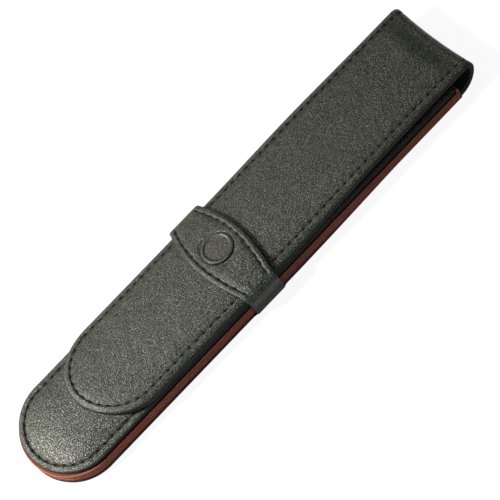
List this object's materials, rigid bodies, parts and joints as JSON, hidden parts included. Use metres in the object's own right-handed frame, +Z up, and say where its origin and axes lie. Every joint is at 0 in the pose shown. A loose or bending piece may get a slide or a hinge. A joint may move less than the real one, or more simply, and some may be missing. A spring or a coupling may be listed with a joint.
{
  "type": "pen case",
  "caption": "Slim leather pouch for one pen: lined pocket with a rounded end, fold-over tongue flap and a keeper strap across the middle.",
  "frame": {"origin": "middle of the pouch's length and width, on the surface it lies on", "axes": "+Y along the pouch towards its mouth and fold, +X across it, +Z up out of the flap"},
  "size_m": [0.0368, 0.162, 0.012],
  "materials": {
    "black_leather": "fine-grained, semi-gloss",
    "black_lining": "smooth, matt",
    "red_lining": "smooth, matt",
    "stiffener_board": "pressed leather board, raw"
  },
  "bodies": {
    "pouch": {"back_leather": "black_leather", "back_stiffener": "stiffener_board", "back_lining": "red_lining", "mouth_lining": "black_lining", "front_lining": "red_lining", "front_stiffener": "stiffener_board", "front_leather": "black_leather", "strap_leather": "black_leather", "strap_lining": "black_lining", "strap_disc": "black_leather"},
    "fold": {"fold_leather": "black_leather", "fold_lining": "black_lining"},
    "flap": {"flap_leather": "black_leather", "flap_stiffener": "stiffener_board", "flap_lining": "black_lining"}
  },
  "joints": [
    {"name": "fold_bend", "type": "hinge", "parent": "pouch", "child": "fold", "pos_m": [0, 0.07806, 0.00165], "axis": [-1, 0, 0], "range_deg": [0, 65]},
    {"name": "flap_crease", "type": "hinge", "parent": "fold", "child": "flap", "pos_m": [0, 0.08046, 0.00818], "axis": [-1, 0, 0], "range_deg": [0, 105]}
  ],
  "couplings": [
    {"joint": "fold_bend", "follows": "flap_crease", "ratio": 0.61905}
  ]
}
